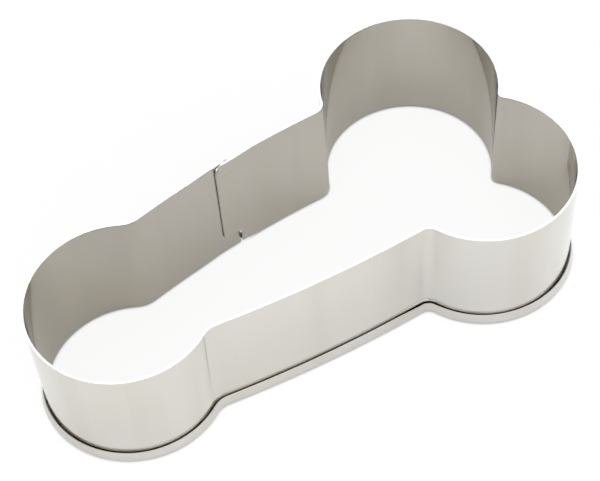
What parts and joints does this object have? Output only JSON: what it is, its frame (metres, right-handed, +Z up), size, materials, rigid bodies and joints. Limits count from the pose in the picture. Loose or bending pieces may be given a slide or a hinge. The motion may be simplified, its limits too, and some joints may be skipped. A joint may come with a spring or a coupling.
{
  "type": "cookie cutter",
  "caption": "Cookie cutter of thin steel strip bent on edge into a long outline with round lobes at both ends, with a cutting edge above and a folded hem along its foot.",
  "frame": {"origin": "middle of the bounding box, on the surface that the hem's foot stands on", "axes": "+X runs from the single round lobe at the tip to the pair of lobes, +Z up from the hem's foot to the cutting edge, +Y towards the side where the strip's ends lap"},
  "size_m": [0.1027, 0.058, 0.025],
  "materials": {
    "strip_steel": "cold-rolled stainless sheet, satin, with soft reflections",
    "weld_steel": "the same stainless sheet, pressed flat by the weld electrodes"
  },
  "bodies": {
    "root": {"cutter_strip": "strip_steel", "spot_weld_lower": "weld_steel", "spot_weld_middle": "weld_steel", "spot_weld_upper": "weld_steel"}
  },
  "joints": []
}
